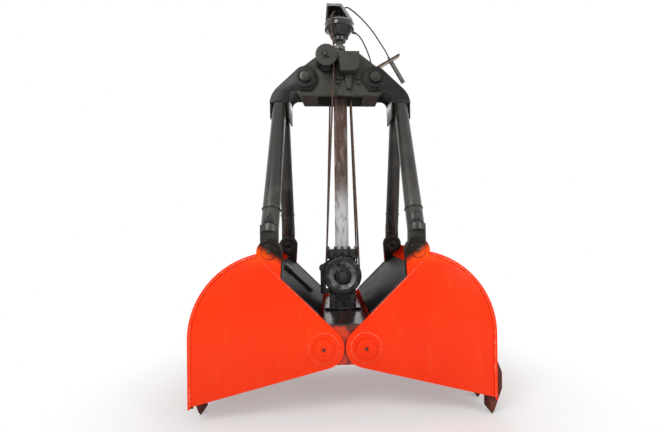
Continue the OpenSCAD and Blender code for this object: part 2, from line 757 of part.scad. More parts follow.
// Bracket's foot along the head's sloping brow, as distances from its lower end
brow_dir = ([head_top_x, head_top_z] - lobe_out) / norm([head_top_x, head_top_z] - lobe_out);
brow_low = 66;
bracket_half = 18;
brow_high = 190;
function on_brow(d) = lobe_out + d * brow_dir - head_t * [0, 1];
lever_dir = (lever_end - pivot) / norm(lever_end - pivot);
lever_up = [-lever_dir[1], lever_dir[0]];
lever_mid_y = lever_y + lever_w / 2;
module trip_bracket() color("dimgray") difference() {
    union() {
        rod(pivot, lever_hub_r, head_in_y, head_t);
        slab(head_in_y, head_t) polygon([pivot, pivot - bracket_half * brow_dir, on_brow(brow_low),
            on_brow(brow_high), pivot + bracket_half * brow_dir]);
    }
    slab(head_in_y - cut, head_t + 2 * cut) head_profile();
    rod(pivot, pivot_r, head_in_y - cut, head_t + 2 * cut);
}
module trip_pivot_pin() color("gray") {
    rod(pivot, pivot_r, head_in_y, lever_y + lever_w + touch - head_in_y);
    rod(pivot, pivot_r + rope_r, lever_y + lever_w + touch, rope_r);
}
module trip_lever() color("dimgray") difference() {
    union() {
        rod(pivot, lever_hub_r, lever_y, lever_w);
        slab(lever_y, lever_w)
            polygon([pivot, lever_end, lever_end + lever_t * lever_up, pivot + lever_t * lever_up]);
    }
    rod(pivot, pivot_r + fit_gap, lever_y - cut, lever_w + 2 * cut);
}
rod_start = pivot + rod_at * lever_dir;
rod_low = rod_start - rod_l * lever_up;
rod_pin_low = rod_start - (rod_l - rod_r) * lever_up;
module trip_rod() color("gray") {
    strut([rod_start[0], lever_mid_y, rod_start[1]], [rod_low[0], lever_mid_y, rod_low[1]], rod_r, rod_r);
    rod(rod_pin_low, pivot_r / 2, lever_mid_y - lever_w / 2, lever_w);
}

// Ropes. The falls run from the head to the lower sheaves
fall_top_z = head_low_z;
fall_top_x = lay_r(top_sheave_r);
// Small parting between one length of rope and the next
fall_part = 0.9;
hoist_part = 1.4;
hoist_foot = [-lay_r(sheave_r), -sheave_mid_y, sheave_z + fall_part];
module fall(sx, sy) strut([sx * lay_r(sheave_r), sy * sheave_mid_y, sheave_z + fall_part],
    [sx * fall_top_x, sy * top_mid_y, fall_top_z], rope_r, rope_r);
hoist_join = [-66, -175, fall_top_z - hoist_part];
module rope_falls() color("peru") {
    fall(1, -1);
    fall(1, 1);
    fall(-1, 1);
    strut(hoist_foot, hoist_join, rope_r, rope_r);
}

// Tube swept along a route of points; no route runs along ring_ref
ring_ref = [0.31, 1, 0.17];
function unit(v) = v / norm(v);
function route_dir(p, i) = unit(p[min(i + 1, len(p) - 1)] - p[max(i - 1, 0)]);
function ring_at(p, i, r, n) =
    let (t = route_dir(p, i), u = unit(cross(t, ring_ref)), w = cross(t, u))
    [for (k = [0 : n - 1]) p[i] + r * cos(360 * k / n) * u + r * sin(360 * k / n) * w];
module tube(p, r, n) {
    m = len(p);
    polyhedron(
        points = [for (i = [0 : m - 1]) each ring_at(p, i, r, n)],
        faces = concat([[for (k = [0 : n - 1]) k]],
            [for (i = [0 : m - 2], k = [0 : n - 1]) [i * n + k, (i + 1) * n + k, (i + 1) * n + (k + 1) % n]],
            [for (i = [0 : m - 2], k = [0 : n - 1])
                [i * n + k, (i + 1) * n + (k + 1) % n, i * n + (k + 1) % n]],
            [[for (k = [n - 1 : -1 : 0]) (m - 1) * n + k]]));
}
// Points between the route's own, on a smooth curve
function smooth(p, i, t) =
    let (a = p[max(i - 1, 0)], b = p[i], c = p[i + 1], d = p[min(i + 2, len(p) - 1)])
    0.5 * ((2 * b) + (c - a) * t + (2 * a - 5 * b + 4 * c - d) * t * t + (3 * b - a - 3 * c + d) * t * t * t);
function refine(p, n) =
    concat([for (i = [0 : len(p) - 2], k = [0 : n - 1]) smooth(p, i, k / n)], [p[len(p) - 1]]);
hoist_route = [[-66, -175, 2464], [-58, -195, 2600], [-52, -208, 2745], [-52, -196, 2850],
    [-62, -165, 2960], [-72, -144, 3060], [-66, -130, 3132], [-48, -88, 3190],
    [-30, -30, 3232], [-22, 20, 3235], [-20, 50, 3235]];
long_route = [[25, 0, 3265.1], [48, 4, 3280], [80, 20, 3292.4], [150, 48, 3258], [225, 78, 3205],
    [300, 108, 3135], [370, 145, 3055], [430, 182, 2985], [466, 202, 2921]];
short_route = [[117, 0, 3065], [150, 8, 3058], [190, 34, 3030], [232, 80, 2980], [270, 134, 2920],
    [294, 184, 2868], [300, 202, 2822.3]];
module hoist_rope() color("peru") tube(refine(hoist_route, 4), rope_r, 10);
module long_trip_cable() color("saddlebrown") tube(refine(long_route, 4), cable_d / 2, 8);
module short_trip_cable() color("saddlebrown") tube(refine(short_route, 4), cable_d / 2, 8);

lower_beam();
sheave_housing();
jaw_hinge_pins();
sheave_axles();
sheave_nuts();
latch_hook();
latch_pin();
front_lower_sheave();
rear_lower_sheave();
rope_wraps();
side_plates(1);  // right_side_plates
back_plate(1, left_teeth);  // right_back_plate
cover_plate(1);  // right_cover_plate
cutting_edge(1, left_teeth);  // right_cutting_edge
teeth_row(1, right_teeth);  // right_teeth_row
inner_ears(1);  // right_inner_ears
hinge_bushes(1);  // right_hinge_bushes
ear_pins(1);  // right_ear_pins
side_plates(-1);  // left_side_plates
back_plate(-1, right_teeth);  // left_back_plate
cover_plate(-1);  // left_cover_plate
cutting_edge(-1, right_teeth);  // left_cutting_edge
teeth_row(-1, left_teeth);  // left_teeth_row
inner_ears(-1);  // left_inner_ears
hinge_bushes(-1);  // left_hinge_bushes
ear_pins(-1);  // left_ear_pins
elbow(1);  // right_elbow
legs(1);  // right_legs
leg_feet(1);  // right_leg_feet
elbow_pins(1);  // right_elbow_pins
elbow(-1);  // left_elbow
legs(-1);  // left_legs
leg_feet(-1);  // left_leg_feet
elbow_pins(-1);  // left_elbow_pins
head_frame();
head_pins();
guide_bar();
guide_bar_pin();
head_sheave_axle();
head_sheaves();
guide_roller();
roller_axle();
latch_box();
latch_tongue();
box_bolts();
swivel_boss();
hanger_neck();
hanger_cup();
hanger_strap();
trip_bracket();
trip_lever();
trip_rod();
trip_pivot_pin();
rope_falls();
hoist_rope();
long_trip_cable();
short_trip_cable();
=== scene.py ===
"""Looks of the single-rope grab bucket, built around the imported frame. Metres, +Z up."""
import math

import bmesh
import bpy
from mathutils import Matrix, Vector


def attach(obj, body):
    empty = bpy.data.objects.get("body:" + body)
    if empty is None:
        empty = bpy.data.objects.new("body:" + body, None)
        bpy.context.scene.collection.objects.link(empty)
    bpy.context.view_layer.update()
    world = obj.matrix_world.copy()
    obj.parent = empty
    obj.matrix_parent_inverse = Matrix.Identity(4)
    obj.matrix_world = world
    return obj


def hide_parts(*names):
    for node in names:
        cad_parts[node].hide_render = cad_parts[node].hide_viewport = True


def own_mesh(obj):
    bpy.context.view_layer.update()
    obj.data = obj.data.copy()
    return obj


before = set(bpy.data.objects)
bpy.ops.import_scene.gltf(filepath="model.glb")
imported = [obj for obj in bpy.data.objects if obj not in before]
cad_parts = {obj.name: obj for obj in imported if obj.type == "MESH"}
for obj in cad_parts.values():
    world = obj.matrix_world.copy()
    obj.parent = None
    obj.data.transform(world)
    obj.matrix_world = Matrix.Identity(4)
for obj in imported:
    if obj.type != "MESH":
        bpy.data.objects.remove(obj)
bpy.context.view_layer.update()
scene = bpy.context.scene

# Camera, fitted to the photograph
CAM_AT = (-0.078, -3.341, 1.357)
CAM_YAW, CAM_PITCH, CAM_ROLL = (math.radians(a) for a in (2.83, 0.25, -0.68))
CAM_LENS, CAM_SHIFT = 20.9, (-0.0305, 0.0166)


def add_camera():
    cam = bpy.data.objects.new("camera", bpy.data.cameras.new("camera"))
    scene.collection.objects.link(cam)
    forward = Vector((math.sin(CAM_YAW) * math.cos(CAM_PITCH),
                      math.cos(CAM_YAW) * math.cos(CAM_PITCH), math.sin(CAM_PITCH)))
    level = Vector((math.cos(CAM_YAW), -math.sin(CAM_YAW), 0))
    upright = level.cross(forward)
    right = math.cos(CAM_ROLL) * level + math.sin(CAM_ROLL) * upright
    up = -math.sin(CAM_ROLL) * level + math.cos(CAM_ROLL) * upright
    turn = Matrix((right, up, -forward)).transposed().to_4x4()
    cam.matrix_world = Matrix.Translation(CAM_AT) @ turn
    cam.data.lens = CAM_LENS
    cam.data.shift_x, cam.data.shift_y = CAM_SHIFT
    cam.data.clip_end = 100
    scene.camera = cam


add_camera()

# Sizes repeated from the source

HINGE_X, HINGE_Z = 0.150, 0.5145
BACK_X, BACK_Z, BACK_R, SWEEP = 1.080, 0.595, 0.595, 77.6
EAR_X, EAR_Z = 0.526, 1.200
SIDE_Y = 0.625
HEAD_X, HEAD_Z, HEAD_Y = 0.289, 2.606, 0.135
SHEAVE_Z, SHEAVE_MID_Y, SHEAVE_LAY, TOP_LAY = 0.972, 0.160, 0.13935, 0.08935
TOP_MID_Y, FALL_TOP_Z = 0.062, 2.464
# Where the fourth fall meets the hoist rope
HOIST_START = (-0.066, -0.175, FALL_TOP_Z)
ROPE_R, CABLE_R = 0.008, 0.006
SIDES = ((1, "right"), (-1, "left"))
ENDS = ((-1, "front"), (1, "rear"))


# Materials


def rgb(r, g, b):
    """A colour written as 0 to 255 values, made linear."""
    return tuple(c / 12.92 if c <= 0.04045 else ((c + 0.055) / 1.055) ** 2.4
                 for c in (r / 255, g / 255, b / 255)) + (1,)


class Look:
    """One procedural material, put together from noise masks."""

    def __init__(self, name, base, rough=0.4, metal=0.0, coat=0.0, coat_rough=0.12,
                 stretch=(1, 1, 1), gloss=0.3):
        self.mat = bpy.data.materials.new(name)
        self.mat.use_nodes = True
        self.tree = self.mat.node_tree
        self.shader = self.tree.nodes["Principled BSDF"]
        self.shader.inputs["Specular IOR Level"].default_value = gloss
        self.shader.inputs["Coat Weight"].default_value = coat
        self.shader.inputs["Coat Roughness"].default_value = coat_rough
        place = self.new("ShaderNodeTexCoord")
        self.place = place.outputs["Object"]
        scaled = self.new("ShaderNodeMapping", Scale=stretch)
        self.link(self.place, scaled.inputs["Vector"])
        self.spread = scaled.outputs[0]
        self.colour, self.rough, self.metal = base, rough, metal
        self.heights = []

    def new(self, kind, **inputs):
        node = self.tree.nodes.new(kind)
        for name, value in inputs.items():
            self.put(value, node.inputs[name])
        return node

    def link(self, a, b):
        self.tree.links.new(a, b)

    def put(self, value, socket):
        if isinstance(value, bpy.types.NodeSocket):
            self.link(value, socket)
        else:
            socket.default_value = value

    def noise(self, scale, detail=4.0, warp=0.0):
        node = self.new("ShaderNodeTexNoise", Vector=self.spread, Scale=scale, Detail=detail,
                        Distortion=warp)
        return node.outputs[0]

    def ramp(self, value, low, high, to_low=0.0, to_high=1.0):
        node = self.new("ShaderNodeMapRange")
        node.interpolation_type = "SMOOTHSTEP"
        for i, v in enumerate((value, low, high, to_low, to_high)):
            self.put(v, node.inputs[i])
        return node.outputs[0]

    def math(self, kind, a, b):
        node = self.new("ShaderNodeMath")
        node.operation = kind
        self.put(a, node.inputs[0])
        self.put(b, node.inputs[1])
        return node.outputs[0]

    def blend(self, share, a, b):
        node = self.new("ShaderNodeMix")
        node.data_type = "RGBA"
        self.put(share, node.inputs[0])
        self.put(a, node.inputs[6])
        self.put(b, node.inputs[7])
        return node.outputs[2]

    def axis(self, index):
        node = self.new("ShaderNodeSeparateXYZ")
        self.link(self.place, node.inputs[0])
        return node.outputs[index]

    def layer(self, mask, colour, rough=None, metal=None, most=1.0):
        """Lays colour over what is there, where mask is 1."""
        share = self.math("MULTIPLY", mask, most) if most < 1 else mask
        self.colour = self.blend(share, self.colour, colour)
        if rough is not None:
            self.rough = self.mixed(share, self.rough, rough)
        if metal is not None:
            self.metal = self.mixed(share, self.metal, metal)
        return self

    def patches(self, grain, low, high, colour, rough=None, metal=None, most=1.0):
        """Lays colour over in patches. grain is what noise takes: scale, detail and warp."""
        return self.layer(self.ramp(self.noise(*grain), low, high), colour, rough, metal, most)

    def ragged(self, index, grain, amount):
        """One coordinate in metres, with noise added so that a border along it is ragged."""
        return self.math("ADD", self.axis(index), self.math("MULTIPLY", self.noise(*grain), amount))

    def mixed(self, share, a, b):
        node = self.new("ShaderNodeMix")
        self.put(share, node.inputs[0])
        self.put(a, node.inputs[2])
        self.put(b, node.inputs[3])
        return node.outputs[0]

    def bumps(self, scale, depth, detail=3.0):
        self.heights.append((self.noise(scale, detail), depth))
        return self

    def done(self):
        self.put(self.colour, self.shader.inputs["Base Color"])
        self.put(self.rough, self.shader.inputs["Roughness"])
        self.put(self.metal, self.shader.inputs["Metallic"])
        normal = None
        for height, depth in self.heights:
            node = self.new("ShaderNodeBump", Height=height, Strength=0.6, Distance=depth)
            if normal is not None:
                self.link(normal, node.inputs["Normal"])
            normal = node.outputs[0]
        if normal is not None:
            self.link(normal, self.shader.inputs["Normal"])
        return self.mat


LOOK = {}


def jaw_looks():
    """Orange paint of the shells, and the same with the dark ears of the side plates."""

    def jaw(name, base, dull):
        k = Look(name, base, rough=0.36, coat=0.08, stretch=(1, 1, 0.35), gloss=0.14)
        k.patches((2.2, 5), 0.42, 0.72, dull, 0.48, most=0.55)
        k.patches((14, 5), 0.60, 0.72, rgb(255, 84, 26), 0.42, most=0.30)
        # Dust on the lower part
        dust = k.ragged(2, (5, 5), 0.14)
        k.layer(k.ramp(dust, 0.30, 0.08), rgb(206, 60, 18), 0.6, most=0.30)
        return k.bumps(4.5, 0.006).bumps(90, 0.0006, 2)

    LOOK["jaw"] = jaw("jaw_paint", rgb(255, 58, 5), rgb(246, 46, 4)).done()
    k = jaw("jaw_ear_paint", rgb(255, 58, 5), rgb(246, 46, 4))
    high = k.ragged(2, (9, 4), 0.05)
    high = k.math("ADD", high, k.math("MULTIPLY", k.math("ABSOLUTE", k.axis(0), 0), -0.70))
    # Yellower at the very top, and dark over a border that rises outwards
    k.layer(k.ramp(k.axis(2), 1.08, 1.20), rgb(255, 92, 2), 0.32, most=0.7)
    k.layer(k.ramp(high, 0.795, 0.870), rgb(30, 22, 15), 0.30)
    # Dark inner faces
    k.layer(k.ramp(k.math("ABSOLUTE", k.axis(1), 0), 0.604, 0.596), rgb(22, 19, 17), 0.34)
    LOOK["jaw_side"] = k.done()


def beam_look():
    """Worn orange paint of the lower beam, black with grease at its top."""
    k = Look("beam_paint", rgb(206, 58, 20), rough=0.4, coat=0.2)
    k.patches((9, 6, 0.6), 0.42, 0.56, rgb(60, 32, 20), 0.5, most=0.85)
    grime = k.ragged(2, (16, 5), 0.05)
    k.layer(k.ramp(grime, 0.675, 0.705), rgb(42, 34, 30), 0.2)
    LOOK["beam"] = k.bumps(30, 0.004).bumps(140, 0.0012).done()


def enamel_looks():
    """Black and grey enamels of the arms, the head and the roller. The head's grey is painted sheen
    on its black paint, and a darker copy of the black is painted shade.
    """

    def black(name, base, worn, rough=0.26, coat=0.5, brown=None, gloss=0.3):
        k = Look(name, base, rough=rough, coat=coat, gloss=gloss)
        k.patches((5, 5), 0.45, 0.70, worn, rough + 0.16, most=0.7)
        if brown:
            k.patches((20, 6, 0.4), 0.60, 0.70, brown, 0.62, most=0.6)
        return k.bumps(26, 0.0025).bumps(130, 0.0007, 2)

    LOOK["black"] = black("black_enamel", rgb(24, 24, 22), rgb(46, 45, 41), 0.40, 0.06,
                          gloss=0.2).done()
    LOOK["leg"] = black("leg_enamel", rgb(40, 40, 37), rgb(74, 72, 66), 0.32, 0.25,
                        rgb(52, 36, 26)).done()
    # A darker, duller copy of the black enamel for the inner ears: painted shade.
    LOOK["brown"] = black("painted_shade_enamel", rgb(18, 13, 11), rgb(34, 24, 20), 0.42, 0.08,
                          rgb(48, 30, 23), 0.15).done()
    # The head's grey base is painted sheen, in place of reflections on its black paint.
    k = black("head_painted_sheen_enamel", rgb(60, 60, 54), rgb(76, 75, 68), 0.48, 0.06, gloss=0.2)
    # Rust along the lower edge
    edge = k.ragged(2, (20, 4), 0.02)
    k.layer(k.ramp(edge, 2.486, 2.474), rgb(58, 40, 32), 0.7, most=0.9)
    LOOK["head"] = k.done()

    k = black("roller_enamel", rgb(56, 57, 52), rgb(68, 69, 62), 0.50, 0.05, gloss=0.2)
    # Greasy black behind the front flange
    k.layer(k.ramp(k.axis(1), -0.277, -0.270), rgb(14, 13, 12), 0.16)
    LOOK["roller"] = k.done()


def iron_looks():
    """Greasy iron with painted glints, the sheaves with their ring of painted sheen, and the
    covers.
    """
    k = Look("greasy_iron", rgb(15, 14, 13), rough=0.20, coat=0.35, coat_rough=0.05, gloss=0.25)
    # The lighter patches on the greasy iron are painted glints.
    k.patches((22, 6, 0.8), 0.50, 0.66, rgb(70, 66, 66), 0.3, most=0.7)
    LOOK["grease"] = k.bumps(34, 0.010, 5).bumps(110, 0.003).done()
    k = Look("sheave_iron", rgb(26, 25, 24), rough=0.26, coat=0.3, gloss=0.25)
    k.patches((16, 6, 0.5), 0.50, 0.66, rgb(84, 80, 82), 0.36, 0.3, most=0.8)
    # A lighter ring round the sheave's axle, between these radii: painted sheen of wet grease.
    rise = k.math("SUBTRACT", k.axis(2), SHEAVE_Z)
    squares = k.math("ADD", k.math("POWER", k.axis(0), 2), k.math("POWER", rise, 2))
    radius = k.math("SQRT", squares, 0)
    ring = k.math("MULTIPLY", k.ramp(radius, 0.070, 0.080), k.ramp(radius, 0.116, 0.108))
    ring = k.math("MULTIPLY", ring, k.ramp(k.noise(18, 5), 0.36, 0.56))
    k.layer(ring, rgb(132, 128, 134), 0.3, 0.3, most=0.8)
    LOOK["sheave"] = k.bumps(44, 0.006, 5).done()
    k = Look("cover_enamel", rgb(11, 8, 8), rough=0.42, gloss=0.05)
    k.patches((7, 6, 0.7), 0.52, 0.68, rgb(30, 26, 25), 0.5, most=0.75)
    k.patches((11, 6), 0.62, 0.70, rgb(56, 36, 24), 0.6, most=0.6)
    LOOK["cover"] = k.bumps(22, 0.006, 5).done()


def bar_look():
    """The guide bar: bright where it is worn, more so low down, and brown along its left edge."""
    k = Look("worn_steel", rgb(84, 62, 52), rough=0.62, metal=0.15, stretch=(1, 1, 0.25))
    k.patches((24, 6), 0.48, 0.68, rgb(128, 112, 104), 0.5, 0.5, most=0.8)
    low = k.ragged(2, (6, 5), -0.7)
    k.layer(k.ramp(low, 1.52, 1.02), rgb(206, 206, 208), 0.30, 0.92, most=0.95)
    k.patches((34, 6, 0.8), 0.52, 0.66, rgb(120, 112, 110), 0.5, 0.6, most=0.7)
    k.patches((60, 5), 0.62, 0.70, rgb(70, 52, 44), 0.7, 0.1, most=0.6)
    k.layer(k.ramp(k.ragged(0, (12, 4), 0.03), -0.036, -0.046), rgb(92, 66, 52), 0.6, 0.1)
    LOOK["bar"] = k.bumps(70, 0.0012, 4).done()


def steel_looks():
    """Teeth, pins, bushes, the hanger's neck and the weld beads."""
    k = Look("tooth_steel", rgb(78, 30, 20), rough=0.5, metal=0.1)
    k.patches((14, 6), 0.45, 0.65, rgb(112, 56, 40), 0.6, 0.1, most=0.7)
    LOOK["tooth"] = k.bumps(50, 0.003, 5).done()
    k = Look("pin_steel", rgb(58, 57, 53), rough=0.38, metal=0.5, coat=0.3)
    k.patches((30, 5), 0.5, 0.66, rgb(30, 27, 25), 0.3, 0.2, most=0.8)
    LOOK["pin"] = k.bumps(90, 0.0012, 4).done()
    k = Look("bush_bronze", rgb(150, 112, 62), rough=0.36, metal=1.0)
    k.patches((40, 5), 0.5, 0.66, rgb(60, 42, 26), 0.5, 0.4, most=0.7)
    LOOK["bronze"] = k.bumps(120, 0.0008).done()
    k = Look("neck_steel", rgb(104, 102, 96), rough=0.4, metal=0.55)
    k.patches((30, 5), 0.5, 0.66, rgb(40, 36, 34), 0.3, 0.2, most=0.8)
    LOOK["neck"] = k.bumps(90, 0.0012, 4).done()
    k = Look("bead_black", rgb(28, 27, 25), rough=0.3, coat=0.4)
    k.patches((60, 4), 0.5, 0.68, rgb(70, 66, 60), 0.45, most=0.7)
    LOOK["bead_black"] = k.done()
    k = Look("bead_orange", rgb(255, 70, 22), rough=0.26, coat=0.2)
    # The pale pink patches on the orange beads are painted highlights.
    k.patches((60, 4), 0.5, 0.68, rgb(255, 150, 118), 0.35, most=0.6)
    LOOK["bead_orange"] = k.done()


def rope_looks():
    """Wires of the ropes and of the trip cables."""

    def rope(name, dark, pale, grease):
        k = Look(name, dark, rough=0.45, metal=0.35)
        k.patches((120, 4), 0.45, 0.62, pale, 0.4, 0.5, most=0.8)
        k.patches((9, 5), 0.55, 0.66, grease, 0.25, 0.1, most=0.7)
        return k.bumps(500, 0.0006, 2).done()

    LOOK["rope"] = rope("wire_rope", rgb(62, 44, 36), rgb(118, 98, 84), rgb(32, 25, 22))
    LOOK["cable"] = rope("cable_wire", rgb(44, 34, 33), rgb(76, 66, 64), rgb(24, 20, 19))


def hanger_looks():
    """Cup, strap and pale edges of the hanger, the trip lever and its liner."""
    k = Look("hanger_enamel", rgb(26, 25, 24), rough=0.24, coat=0.6)
    k.patches((24, 6), 0.52, 0.68, rgb(62, 58, 54), 0.42, most=0.7)
    LOOK["cup"] = k.bumps(40, 0.004, 5).done()
    k = Look("strap_enamel", rgb(30, 28, 27), rough=0.3, coat=0.5)
    k.patches((18, 6), 0.50, 0.68, rgb(74, 70, 66), 0.45, most=0.7)
    # The front of the strap's frame is pale on its right and at its top
    pale = k.math("MAXIMUM", k.ramp(k.axis(0), -0.004, 0.012), k.ramp(k.axis(2), 3.244, 3.256))
    pale = k.math("MULTIPLY", pale, k.ramp(k.axis(1), -0.0715, -0.0735))
    k.layer(pale, rgb(132, 136, 130), 0.55)
    LOOK["strap"] = k.bumps(60, 0.002, 5).done()
    k = Look("edge_steel", rgb(150, 152, 148), rough=0.55, metal=0.1)
    k.patches((26, 6), 0.45, 0.68, rgb(116, 114, 108), 0.6, most=0.8)
    LOOK["edge"] = k.bumps(60, 0.002, 5).done()
    k = Look("lever_enamel", rgb(30, 27, 25), rough=0.3, coat=0.4)
    k.patches((22, 6), 0.55, 0.68, rgb(86, 72, 60), 0.5, most=0.7)
    LOOK["lever"] = k.bumps(60, 0.002, 5).done()
    k = Look("primer", rgb(206, 186, 160), rough=0.6)
    k.patches((24, 6), 0.48, 0.68, rgb(160, 134, 108), 0.6, most=0.8)
    LOOK["primer"] = k.bumps(60, 0.002, 5).done()


def floor_look():
    """A near-white floor. Far from the object the camera sees it as white as the background."""
    k = Look("plain_floor", rgb(246, 246, 246), rough=0.9)
    k.patches((1.5, 3), 0.4, 0.7, rgb(243, 243, 243), 0.9, most=0.5)
    LOOK["floor"] = k.done()
    far = k.new("ShaderNodeVectorMath", Vector=k.place)
    far.operation = "LENGTH"
    white = k.new("ShaderNodeEmission", Color=(1, 1, 1, 1), Strength=1.0)
    seen = k.new("ShaderNodeLightPath")
    share = k.math("MULTIPLY", k.ramp(far.outputs["Value"], 1.1, 2.3, 0.35, 1.0),
                   seen.outputs["Is Camera Ray"])
    both = k.new("ShaderNodeMixShader")
    k.link(share, both.inputs[0])
    k.link(k.shader.outputs[0], both.inputs[1])
    k.link(white.outputs[0], both.inputs[2])
    k.link(both.outputs[0], k.tree.nodes["Material Output"].inputs["Surface"])


for make in (jaw_looks, beam_look, enamel_looks, iron_looks, bar_look, steel_looks, rope_looks,
             hanger_looks, floor_look):
    make()

# Mesh makers

# Edges that turn by more than this many degrees are softened
SOFT_ANGLE = 38
# Pitch of a weld bead's ripples, and how fast its thickness wavers
RIPPLE_PITCH, WAVER = 0.013, 71.0


def new_piece(name, verts, faces, body, look, smooth=50):
    """A mesh piece that rides on body. Edges that turn by over smooth degrees stay sharp."""
    mesh = bpy.data.meshes.new(name)
    mesh.from_pydata([tuple(v) for v in verts], [], faces)
    made = bmesh.new()
    made.from_mesh(mesh)
    bmesh.ops.recalc_face_normals(made, faces=made.faces)
    made.to_mesh(mesh)
    made.free()
    mesh.shade_smooth()
    mesh.set_sharp_from_angle(angle=math.radians(smooth))
    mesh.materials.append(LOOK[look])
    piece = bpy.data.objects.new(name, mesh)
    scene.collection.objects.link(piece)
    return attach(piece, body)


def soften(piece, width=0.0015, segments=2):
    edge = piece.modifiers.new("edges", "BEVEL")
    edge.width, edge.segments = width, segments
    edge.limit_method, edge.angle_limit = "ANGLE", math.radians(SOFT_ANGLE)
    edge.use_clamp_overlap = True
    return piece


def sweep(path, section, closed=False):
    """Verts and faces of a section swept along path.

    section takes the run along the path so far and gives points of (across, up).
    """
    n = len(path)
    path = [Vector(p) for p in path]
    tangents = []
    for i in range(n):
        a = path[(i - 1) % n] if closed else path[max(i - 1, 0)]
        b = path[(i + 1) % n] if closed else path[min(i + 1, n - 1)]
        tangents.append((b - a).normalized())
    side = tangents[0].orthogonal().normalized()
    verts, rings, run = [], [], 0.0
    for i in range(n):
        if i:
            run += (path[i] - path[i - 1]).length
            side = (side - tangents[i] * side.dot(tangents[i])).normalized()
        up = tangents[i].cross(side)
        ring = [path[i] + side * x + up * y for x, y in section(run)]
        rings.append(range(len(verts), len(verts) + len(ring)))
        verts += ring
    faces = []
    count = len(rings[0])
    for i in range(n if closed else n - 1):
        a, b = rings[i], rings[(i + 1) % n]
        faces += [(a[k], a[(k + 1) % count], b[(k + 1) % count], b[k]) for k in range(count)]
    if not closed:
        faces += [tuple(reversed(rings[0])), tuple(rings[-1])]
    return verts, faces


def round_section(radius, count):
    return [(radius * math.cos(a), radius * math.sin(a))
            for a in (2 * math.pi * k / count for k in range(count))]


def strand_section(radius, strands=6, lay=0.11, per=5):
    """Section of a laid rope: round strands that turn once in each lay."""
    count = strands * per

    def section(run):
        turn = 2 * math.pi * run / lay
        points = []
        for k in range(count):
            a = 2 * math.pi * k / count
            bulge = abs(math.cos(strands * a / 2))
            r = radius * (0.80 + 0.20 * bulge ** 0.6)
            points.append((r * math.cos(a + turn), r * math.sin(a + turn)))
        return points

    return section


def resample(path, step):
    """Points about step apart along path."""
    path = [Vector(p) for p in path]
    out = [path[0]]
    for a, b in zip(path, path[1:]):
        n = max(1, round((b - a).length / step))
        out += [a.lerp(b, (k + 1) / n) for k in range(n)]
    return out


def rope_piece(name, path, radius, body, look="rope", step=0.006, lay=0.11):
    verts, faces = sweep(resample(path, step), strand_section(radius, lay=lay))
    return new_piece(name, verts, faces, body, look, smooth=70)


def bead(name, path, radius, body, look, closed=False, step=0.005):
    """A weld bead with its ripples."""
    points = resample(list(path) + ([path[0]] if closed else []), step)
    if closed:
        points = points[:-1]

    def section(run):
        ripple = 0.13 * math.sin(2 * math.pi * run / RIPPLE_PITCH)
        return round_section(radius * (1 + ripple + 0.10 * math.sin(run * WAVER)), 8)

    verts, faces = sweep(points, section, closed)
    return new_piece(name, verts, faces, body, look, smooth=80)


def circle(centre, radius, y, count=72, start=0.0, stop=360.0):
    """Points of a circle or arc in a plane of constant y; centre is (x, z)."""
    full = stop - start >= 360
    n = count if full else count + 1
    return [Vector((centre[0] + radius * math.cos(a), y, centre[1] + radius * math.sin(a)))
            for a in (math.radians(start + (stop - start) * k / count) for k in range(n))]


def lathe(name, centre, y, profile, body, look, out=-1, count=64):
    """Turned piece about an axis along Y through centre, which is (x, z).

    profile is pairs of radius and distance out from y; out is -1 for the front, 1 for the rear.
    """
    verts, faces, rings = [], [], []
    for r, d in profile:
        if r < 1e-6:
            rings.append([len(verts)])
            verts.append((centre[0], y + out * d, centre[1]))
        else:
            rings.append(list(range(len(verts), len(verts) + count)))
            verts += [tuple(p) for p in circle(centre, r, y + out * d, count)]
    for a, b in zip(rings, rings[1:]):
        for k in range(count):
            m = (k + 1) % count
            if len(a) == 1:
                faces.append((a[0], b[m], b[k]))
            elif len(b) == 1:
                faces.append((a[k], a[m], b[0]))
            else:
                faces.append((a[k], a[m], b[m], b[k]))
    for ring in (rings[0], rings[-1]):
        if len(ring) > 1:
            faces.append(tuple(ring))
    return new_piece(name, verts, faces, body, look, smooth=35)


def prism(name, outline, y0, y1, body, look, width=0.0015):
    """A plate: outline of (x, z) points from y0 to y1, with softened edges."""
    n = len(outline)
    verts = [(x, y, z) for y in (y0, y1) for x, z in outline]
    faces = [tuple(range(n)), tuple(range(2 * n - 1, n - 1, -1))]
    faces += [(k, (k + 1) % n, n + (k + 1) % n, n + k) for k in range(n)]
    return soften(new_piece(name, verts, faces, body, look, smooth=35), width)


def block(name, middle, size, body, look, turn=None, width=0.002):
    """A bar with softened edges, placed by its middle, turned by a matrix."""
    sx, sy, sz = (d / 2 for d in size)
    turn = turn or Matrix.Identity(3)
    verts = [Vector(middle) + turn @ Vector((x * sx, y * sy, z * sz))
             for x in (-1, 1) for y in (-1, 1) for z in (-1, 1)]
    faces = [(0, 1, 3, 2), (4, 6, 7, 5), (0, 4, 5, 1), (2, 3, 7, 6), (0, 2, 6, 4), (1, 5, 7, 3)]
    return soften(new_piece(name, verts, faces, body, look, smooth=35), width)


def smooth_route(points, steps=4):
    """The source's own curve through its route points, given there in millimetres."""
    p = [Vector(q) / 1000 for q in points]
    out = []
    for i in range(len(p) - 1):
        a, b, c, d = p[max(i - 1, 0)], p[i], p[i + 1], p[min(i + 2, len(p) - 1)]
        for k in range(steps):
            t = k / steps
            out.append(0.5 * (2 * b + (c - a) * t + (2 * a - 5 * b + 4 * c - d) * t * t
                              + (3 * b - a - 3 * c + d) * t ** 3))
    return out + [p[-1]]


def length_of(path):
    return sum((b - a).length for a, b in zip(path, path[1:]))


